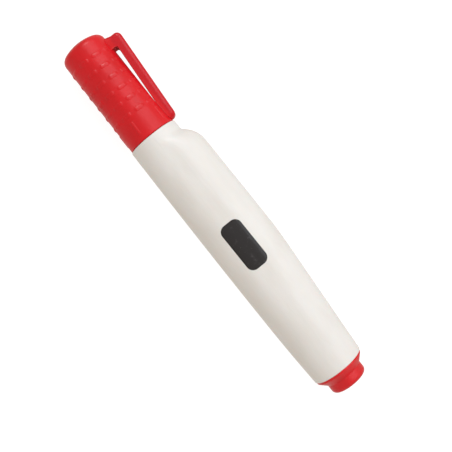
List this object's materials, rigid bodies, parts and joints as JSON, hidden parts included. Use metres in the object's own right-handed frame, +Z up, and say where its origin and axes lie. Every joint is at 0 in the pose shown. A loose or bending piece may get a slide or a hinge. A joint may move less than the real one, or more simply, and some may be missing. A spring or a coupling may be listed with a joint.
{
  "type": "whiteboard marker",
  "caption": "Capped whiteboard marker: round barrel with a hump along one side, pull-off cap with a moulded clip and dimpled grip, bullet nib and rear end plug.",
  "frame": {"origin": "middle of the underside of the bounding box, with the marker lying on its flatter side", "axes": "+X along the pen axis towards the nib and the cap's closed end, -Y towards the clip and the barrel's hump, +Z up"},
  "size_m": [0.1354, 0.0216, 0.0183],
  "materials": {
    "barrel_plastic": "satin moulded plastic",
    "plug_plastic": "glossy moulded plastic",
    "holder_plastic": "satin moulded plastic",
    "nib_fibre": "bonded fibre soaked with red ink",
    "reservoir_fibre": "bundled fibre soaked with red ink",
    "sleeve_film": "thin clear film",
    "cap_plastic": "satin-gloss moulded plastic",
    "liner_plastic": "soft moulded plastic"
  },
  "bodies": {
    "pen": {"barrel": "barrel_plastic", "end_plug": "plug_plastic", "nib_holder": "holder_plastic", "nib": "nib_fibre", "reservoir": "reservoir_fibre", "reservoir_film": "sleeve_film"},
    "cap": {"cap": "cap_plastic", "inner_cap": "liner_plastic"}
  },
  "joints": [
    {"name": "cap_pull", "type": "slide", "parent": "pen", "child": "cap", "axis": [1, 0, 0], "range_m": [0, 0.04]}
  ]
}
